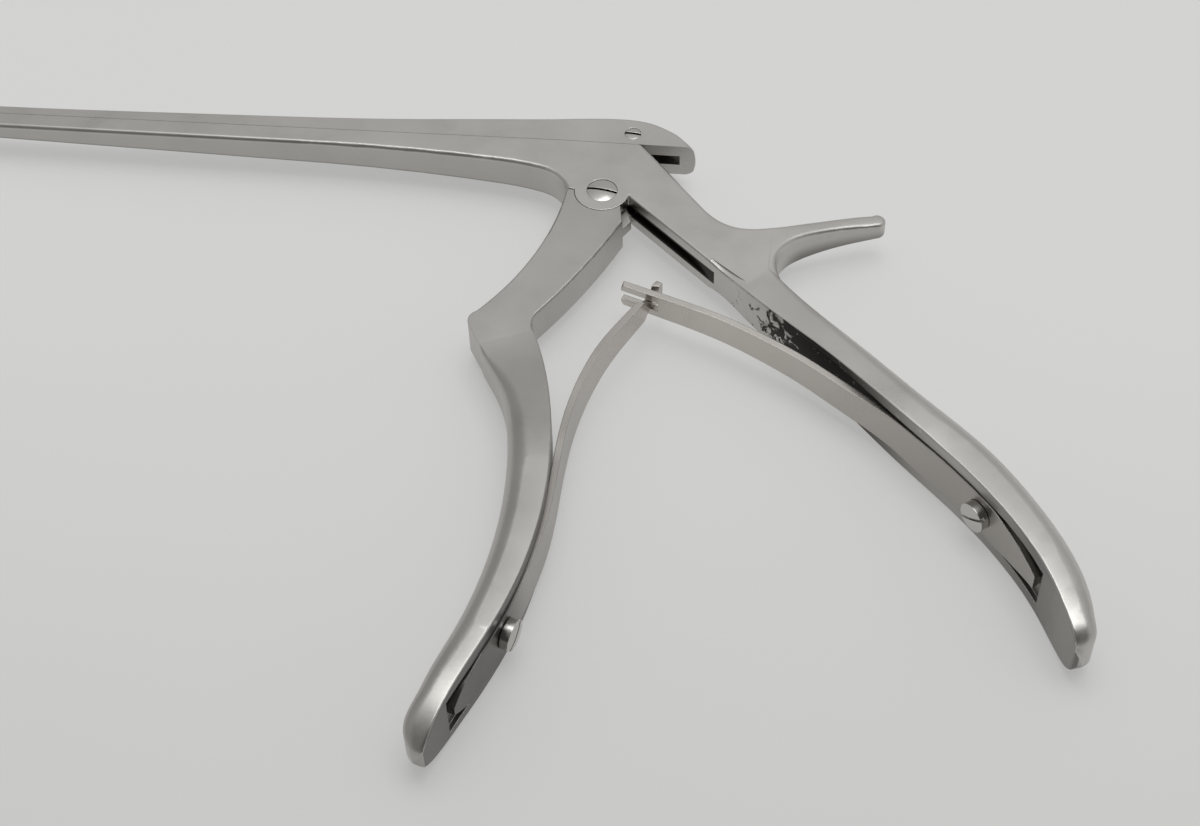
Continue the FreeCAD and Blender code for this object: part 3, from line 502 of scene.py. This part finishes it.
def shown(mesh, work, sharp_angle, material):
    """Turns the shaped mesh into an object that is smooth apart from its real edges."""
    work.to_mesh(mesh)
    work.free()
    for polygon in mesh.polygons:
        polygon.use_smooth = True
    mesh.set_sharp_from_angle(angle=sharp_angle)
    mesh.materials.clear()
    mesh.materials.append(material)
    piece = bpy.data.objects.new(mesh.name, mesh)
    bpy.context.scene.collection.objects.link(piece)
    return piece


def even_normals(piece):
    """Lets the large flat faces stay flat, so that the light bends only on the curved ones."""
    even = piece.modifiers.new("even_normals", "WEIGHTED_NORMAL")
    even.keep_sharp = True
    even.weight = 60


def along_and_across(local, corner, run, side=1):
    """A place's reach along a run from a corner, its distance across it, and the direction of that."""
    away = (local.x - corner[0], local.y - corner[1])
    into = (-run[1] * side, run[0] * side)
    return away[0] * run[0] + away[1] * run[1], away[0] * into[0] + away[1] * into[1], into


def eased_thickness(vertex, root, run, cheek, keep):
    """Thins what a grip stands proud of the body's sides near its root, so that no crease shows there."""
    reach, _, _ = along_and_across((vertex.co - PIVOT) * 1000, root, run)
    proud = abs(vertex.co.z - PIVOT.z) - cheek
    if reach > ROOT_BEFORE and proud > 0.0:
        vertex.co.z = PIVOT.z + math.copysign(cheek + proud * keep(reach), vertex.co.z - PIVOT.z)


def rear_keep(reach):
    return 1 - REAR_THIN * math.exp(-((reach - REAR_THIN_AT) / REAR_THIN_OVER) ** 2)


def front_keep(reach):
    return 1 - math.exp(-max(reach, 0.0) / FRONT_GROWS_OVER)


def blunted(vertex, corner, run, side, fuller, shorter):
    """Makes the end of a grip fuller behind its inner face, and a little shorter."""
    local = (vertex.co - PIVOT) * 1000
    reach, across, into = along_and_across(local, corner, run, side)
    if not (END_ALONG[0] < reach < END_ALONG[1] and END_ACROSS[0] < across < END_ACROSS[1]):
        return
    across *= 1 + fuller * (reach / END_FULL) ** 2
    reach -= shorter * reach ** 2
    local.x = corner[0] + run[0] * reach + into[0] * across
    local.y = corner[1] + run[1] * reach + into[1] * across
    vertex.co.x, vertex.co.y = (PIVOT + local / 1000).xy


def tapered_spur(vertex, taper):
    """Makes the thumb spur thinner towards its tip."""
    local = (vertex.co - PIVOT) * 1000
    if local.y > SPUR_FLOOR:
        vertex.co.z = PIVOT.z + (vertex.co.z - PIVOT.z) * (1 - taper * progress(local.x, *SPUR_TAPER))


def domed(work, corner, run, least, merge):
    """Turns the small flat face at the end of a grip into a dome."""
    run = Vector((*run, 0.0))
    start = from_pivot((*corner, 0.0))
    height = DOME_HEIGHT / 1000

    def reach(vertex):
        near = (vertex.co - start).length < DOME_RADIUS / 1000
        return (vertex.co - start).dot(run) * 1000 if near else 0.0

    end = [vertex for vertex in work.verts if reach(vertex) > least]
    bmesh.ops.remove_doubles(work, verts=end, dist=merge / 1000)
    far = max(reach(vertex) for vertex in work.verts)
    cap = [face for face in work.faces if all(far - reach(vertex) < CAP_DEPTH for vertex in face.verts)]
    area = sum(face.calc_area() for face in cap)
    middle = sum((face.calc_center_median() * face.calc_area() for face in cap), Vector()) / area
    rim = [(loop.vert, loop.link_loop_next.vert) for face in cap for loop in face.loops
           if sum(other in cap for other in loop.edge.link_faces) == 1]
    bmesh.ops.delete(work, geom=cap, context="FACES")
    rings = {}
    for vertex, _ in rim:
        rings[vertex] = [vertex]
        for share in DOME_RINGS:
            place = middle + (vertex.co - middle) * share + run * (1 - share ** 2) * height
            rings[vertex].append(work.verts.new(place))
    top = work.verts.new(middle + run * height)
    for first, second in rim:
        for number in range(len(DOME_RINGS)):
            work.faces.new((rings[first][number], rings[second][number],
                            rings[second][number + 1], rings[first][number + 1]))
        work.faces.new((rings[first][-1], rings[second][-1], top))


def raised_shoulder(vertex):
    """The front leaf's shoulders sit right below the fork."""
    below = (PIVOT.y - vertex.co.y) * 1000
    if SHOULDERS[0] < below < SHOULDERS[1]:
        vertex.co += Vector(SHOULDER_MOVE) / 1000


def bending_leaf(name, node, axis, step, bevel, material, shape=None):
    """A leaf spring in the shape of its node, cut across every few millimetres so that it can bend."""
    mesh, work = own_mesh(node, name)
    if shape:
        for vertex in work.verts:
            shape(vertex)
    bmesh.ops.dissolve_limit(work, angle_limit=math.radians(0.5), verts=work.verts, edges=work.edges)
    reach = [vertex.co[axis] for vertex in work.verts]
    normal = Vector(ALONG_Y if axis else ALONG_X)
    cut = min(reach) + step
    while cut < max(reach) - step / 2:
        parts = work.verts[:] + work.edges[:] + work.faces[:]
        bmesh.ops.bisect_plane(work, geom=parts, plane_co=normal * cut, plane_no=normal, dist=1e-7)
        cut += step
    piece = shown(mesh, work, math.radians(35), material)
    rim = piece.modifiers.new("broken_edges", "BEVEL")
    rim.width = bevel
    rim.segments = 2
    rim.limit_method = "ANGLE"
    rim.angle_limit = math.radians(50)
    rim.harden_normals = True
    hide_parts(node)
    return piece


class RONGEUR_OT_forgings(bpy.types.Operator):
    """Gives the slide its satin finish, and makes the frame and the front handle with eased grips"""
    bl_idname = "rongeur.forgings"
    bl_label = "Make the forgings"

    def execute(self, context):
        steel, sizes = context.scene.rongeur_steel, context.scene.rongeur_forgings
        looks = {"roughness": steel.roughness, "edge_round": steel.edge_round, "under": UNDER_SHADE}
        finish(("slide",), satin_steel("satin_steel", steel.colour, seam=True, **looks))
        self.rear(satin_steel("rear_grip_steel", steel.colour, inner=REAR_INNER, stain_and_shade=steel.stain_and_shadow_colour,
                              seam=True, **looks), sizes)
        # Painted shade: the front grip gets a darker copy of the same steel, for the less light that falls on
        # it
        front_shaded_colour = tinted(steel.colour, FRONT_GRIP_SHADE)
        self.front(satin_steel("front_grip_steel", front_shaded_colour, inner=FRONT_INNER, **looks), sizes)
        return {"FINISHED"}

    def rear(self, material, sizes):
        mesh, work = own_mesh("frame", "rear_forging")
        for vertex in work.verts:
            eased_thickness(vertex, REAR_ROOT, REAR_RUN, sizes.cheek, rear_keep)
            blunted(vertex, REAR_END, REAR_END_RUN, 1, sizes.rear_blunt, REAR_SHORTER)
            tapered_spur(vertex, sizes.spur_taper)
        domed(work, REAR_END, REAR_END_RUN, *REAR_DOME)
        self.place(shown(mesh, work, sizes.sharp_angle, material), "frame")

    def front(self, material, sizes):
        mesh, work = own_mesh("front_handle", "front_forging")
        for vertex in work.verts:
            eased_thickness(vertex, FRONT_ROOT, FRONT_RUN, sizes.cheek, front_keep)
            blunted(vertex, FRONT_END, FRONT_END_RUN, -1, sizes.front_blunt, FRONT_SHORTER)
        domed(work, FRONT_END, FRONT_END_RUN, *FRONT_DOME)
        self.place(shown(mesh, work, sizes.sharp_angle, material), "front_handle")

    def place(self, piece, node):
        even_normals(piece)
        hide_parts(node)
        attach(piece, node)


class RONGEUR_OT_screws(bpy.types.Operator):
    """Gives the slotted screws their turned finish"""
    bl_idname = "rongeur.screws"
    bl_label = "Finish the screws"

    def execute(self, context):
        steel = context.scene.rongeur_steel
        looks = {"roughness": steel.screw_roughness, "edge_round": steel.edge_round, "grain": 0.6}
        turned = satin_steel("turned_steel", steel.colour, **looks)
        finish(("rear_spring_screw", "front_spring_screw"), turned)
        for name, crown in CROWNS.items():
            top = max(vertex.co.z for vertex in frame["nodes"][name].data.vertices)
            flush = satin_steel(name + "_steel", steel.colour, deep=top - crown / 1000, **looks)
            finish((name,), flush)
        return {"FINISHED"}


class RONGEUR_OT_springs(bpy.types.Operator):
    """Makes the two leaf springs, cut into short straight parts so that they can bend"""
    bl_idname = "rongeur.springs"
    bl_label = "Make the springs"

    def execute(self, context):
        steel, sizes = context.scene.rongeur_steel, context.scene.rongeur_springs
        finishes = satin_steel("spring_steel", steel.spring_colour, steel.spring_roughness, steel.edge_round,
                               grain=0.9, scratch_turn=0.6, fade=SPRING_ENDS)
        rear = bending_leaf("rear_leaf", "rear_spring", 0, sizes.cut_length, sizes.edge_bevel, finishes)
        front = bending_leaf("front_leaf", "front_spring", 1, sizes.cut_length, sizes.edge_bevel, finishes,
                             raised_shoulder)
        self.widen(front, sizes.front_fullness)
        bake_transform(rear)
        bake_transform(front)
        return {"FINISHED"}

    def widen(self, leaf, fullness):
        """The front leaf is full in width soon after its neck."""
        for vertex in leaf.data.vertices:
            below = (PIVOT.y - vertex.co.y) * 1000
            grow = progress(below, *WIDENS) * (1 - progress(below, *NARROWS))
            vertex.co.z = PIVOT.z + (vertex.co.z - PIVOT.z) * (1 + (fullness - 1) * grow)


class RONGEUR_OT_stage(bpy.types.Operator):
    """Adds the pale table, the soft lights and the camera at the photograph's angle"""
    bl_idname = "rongeur.stage"
    bl_label = "Set the stage"

    def execute(self, context):
        settings = context.scene.rongeur_stage
        self.table(settings)
        self.room(context, settings)
        self.ceiling_light(settings)
        self.camera(context, settings)
        context.scene.view_settings.view_transform = "Standard"
        return {"FINISHED"}

    def table(self, settings):
        mesh = bpy.data.meshes.new("table")
        corners = [(x * TABLE_HALF, y * TABLE_HALF, 0) for x, y in ((-1, -1), (1, -1), (1, 1), (-1, 1))]
        mesh.from_pydata(corners, [], [(0, 1, 2, 3)])
        table = bpy.data.objects.new("table", mesh)
        bpy.context.scene.collection.objects.link(table)
        material, nodes, links, shader = new_material("table_top")
        place = add(nodes, "ShaderNodeTexCoord").outputs["Object"]
        mottle = add(nodes, "ShaderNodeTexNoise", Scale=9.0, Detail=3.0, Roughness=0.5)
        links.new(place, mottle.inputs["Vector"])
        pale = settings.floor_colour
        tone = ramp(nodes, [(0.3, tinted(pale, 0.985)), (0.7, tinted(pale, 1.015))])
        links.new(mottle.outputs["Fac"], tone.inputs["Fac"])
        links.new(tone.outputs["Color"], shader.inputs["Base Color"])
        shader.inputs["Roughness"].default_value = 0.7

        # Part of its pale tone is a glow, darker in front and lighter behind as painted light, so that the
        # shadows on it stay weak
        back = span(nodes, links, towards(nodes, links, place, ALONG_Y), *TABLE_CHANGE)
        glow = add(nodes, "ShaderNodeEmission")
        links.new(blend_colours(nodes, links, back, TABLE_FRONT, TABLE_BACK), glow.inputs["Color"])
        ray = add(nodes, "ShaderNodeLightPath")
        seen = combine(nodes, links, "MAXIMUM", ray.outputs["Is Camera Ray"], ray.outputs["Is Glossy Ray"])
        both = add(nodes, "ShaderNodeMixShader")
        links.new(product(nodes, links, seen, settings.floor_glow), both.inputs["Fac"])
        links.new(shader.outputs["BSDF"], both.inputs[1])
        links.new(glow.outputs["Emission"], both.inputs[2])
        links.new(both.outputs["Shader"], nodes["Material Output"].inputs["Surface"])
        mesh.materials.append(material)

    def room(self, context, settings):
        """A pale room with a bright ceiling and a darker side in front, which the steel reflects."""
        world = bpy.data.worlds.new("room")
        context.scene.world = world
        world.use_nodes = True
        nodes, links = world.node_tree.nodes, world.node_tree.links
        shade = nodes["Background"]
        way = add(nodes, "ShaderNodeTexCoord").outputs["Generated"]
        split = add(nodes, "ShaderNodeSeparateXYZ")
        links.new(way, split.inputs["Vector"])
        height = ramp(nodes, ROOM_TONES)
        links.new(split.outputs["Z"], height.inputs["Fac"])
        front = towards(nodes, links, way, Vector(ROOM_FRONT).normalized())
        shadow = span(nodes, links, front, *ROOM_FRONT_SPAN)
        dark = blend_colours(nodes, links, shadow, height.outputs["Color"], ROOM_FRONT_TONE)
        left = towards(nodes, links, way, (-1.0, 0.0, 0.0))
        dimmed = span(nodes, links, left, *ROOM_LEFT_SPAN, 0.0, ROOM_LEFT_SHARE)
        dark = blend_colours(nodes, links, dimmed, dark, ROOM_LEFT_TONE)
        links.new(dark, shade.inputs["Color"])
        shade.inputs["Strength"].default_value = settings.room_strength

    def ceiling_light(self, settings):
        light = bpy.data.lights.new("ceiling", "AREA")
        light.shape = "RECTANGLE"
        light.size, light.size_y = LAMP_SIZE
        light.energy = settings.ceiling_power
        lamp = bpy.data.objects.new("ceiling", light)
        lamp.location = LAMP_PLACE
        lamp.rotation_mode = "QUATERNION"
        lamp.rotation_quaternion = (-lamp.location).to_track_quat("-Z", "Y")
        bpy.context.scene.collection.objects.link(lamp)

    def camera(self, context, settings):
        data = bpy.data.cameras.new("camera")
        data.lens = settings.lens
        data.sensor_width = 36.0
        data.clip_start, data.clip_end = 0.01, 20.0
        camera = bpy.data.objects.new("camera", data)
        stand, aim = from_pivot(CAMERA_PLACE), from_pivot(CAMERA_AIM)
        turn = (aim - stand).to_track_quat("-Z", "Y").to_matrix().to_4x4()
        roll = Matrix.Rotation(math.radians(CAMERA_ROLL), 4, "Z")
        camera.matrix_world = Matrix.Translation(stand) @ turn @ roll
        context.scene.collection.objects.link(camera)
        context.scene.camera = camera


OPERATORS = (RONGEUR_OT_forgings, RONGEUR_OT_screws, RONGEUR_OT_springs, RONGEUR_OT_stage)


class RONGEUR_PT_panel(bpy.types.Panel):
    """Sidebar panel with the settings and steps"""
    bl_label = "Rongeur"
    bl_space_type = "VIEW_3D"
    bl_region_type = "UI"
    bl_category = "Rongeur"

    def draw(self, context):
        scene = context.scene
        for settings in (scene.rongeur_steel, scene.rongeur_forgings, scene.rongeur_springs,
                         scene.rongeur_stage):
            for name in settings.bl_rna.properties.keys():
                if name not in ("rna_type", "name"):
                    self.layout.prop(settings, name)
        for operator in OPERATORS:
            self.layout.operator(operator.bl_idname)


CLASSES = (SteelSettings, ForgingSettings, SpringSettings, StageSettings, *OPERATORS, RONGEUR_PT_panel)


def register():
    for each in CLASSES:
        bpy.utils.register_class(each)
    bpy.types.Scene.rongeur_steel = bpy.props.PointerProperty(type=SteelSettings)
    bpy.types.Scene.rongeur_forgings = bpy.props.PointerProperty(type=ForgingSettings)
    bpy.types.Scene.rongeur_springs = bpy.props.PointerProperty(type=SpringSettings)
    bpy.types.Scene.rongeur_stage = bpy.props.PointerProperty(type=StageSettings)


def unregister():
    del bpy.types.Scene.rongeur_steel
    del bpy.types.Scene.rongeur_forgings
    del bpy.types.Scene.rongeur_springs
    del bpy.types.Scene.rongeur_stage
    for each in reversed(CLASSES):
        bpy.utils.unregister_class(each)


def main():
    register()
    bpy.ops.rongeur.forgings()
    bpy.ops.rongeur.screws()
    bpy.ops.rongeur.springs()
    bpy.ops.rongeur.stage()


if __name__ == "__main__":
    main()
